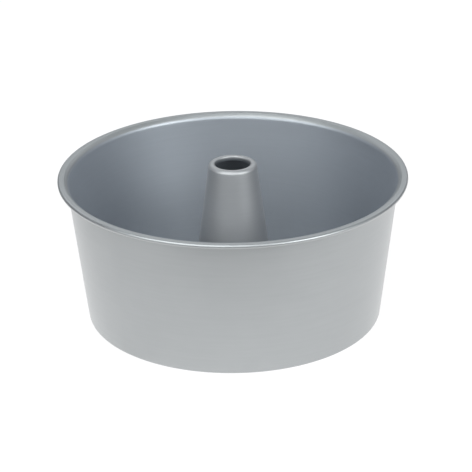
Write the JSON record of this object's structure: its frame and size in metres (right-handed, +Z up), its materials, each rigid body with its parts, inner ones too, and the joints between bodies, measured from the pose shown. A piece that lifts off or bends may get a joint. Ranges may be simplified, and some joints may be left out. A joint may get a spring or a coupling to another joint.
{
  "type": "angel food cake pan",
  "caption": "Round, tapered tube pan of satin anodised aluminium for baking foam cakes, with a rolled rim and a loose base that lifts out with the centre tube.",
  "frame": {"origin": "on the pan's axis, on the surface that it stands on", "axes": "+Z up along the pan's axis; +X to the right and +Y away from the picture's viewer"},
  "size_m": [0.266, 0.266, 0.1214],
  "materials": {
    "ring_aluminium": "satin anodised",
    "plate_aluminium": "satin anodised",
    "tube_aluminium": "satin anodised"
  },
  "bodies": {
    "ring": {"pan_ring": "ring_aluminium"},
    "base": {"base_plate": "plate_aluminium", "centre_tube": "tube_aluminium"}
  },
  "joints": [
    {"name": "base_lift", "type": "slide", "parent": "ring", "child": "base", "axis": [0, 0, 1], "range_m": [0, 0.13]}
  ]
}
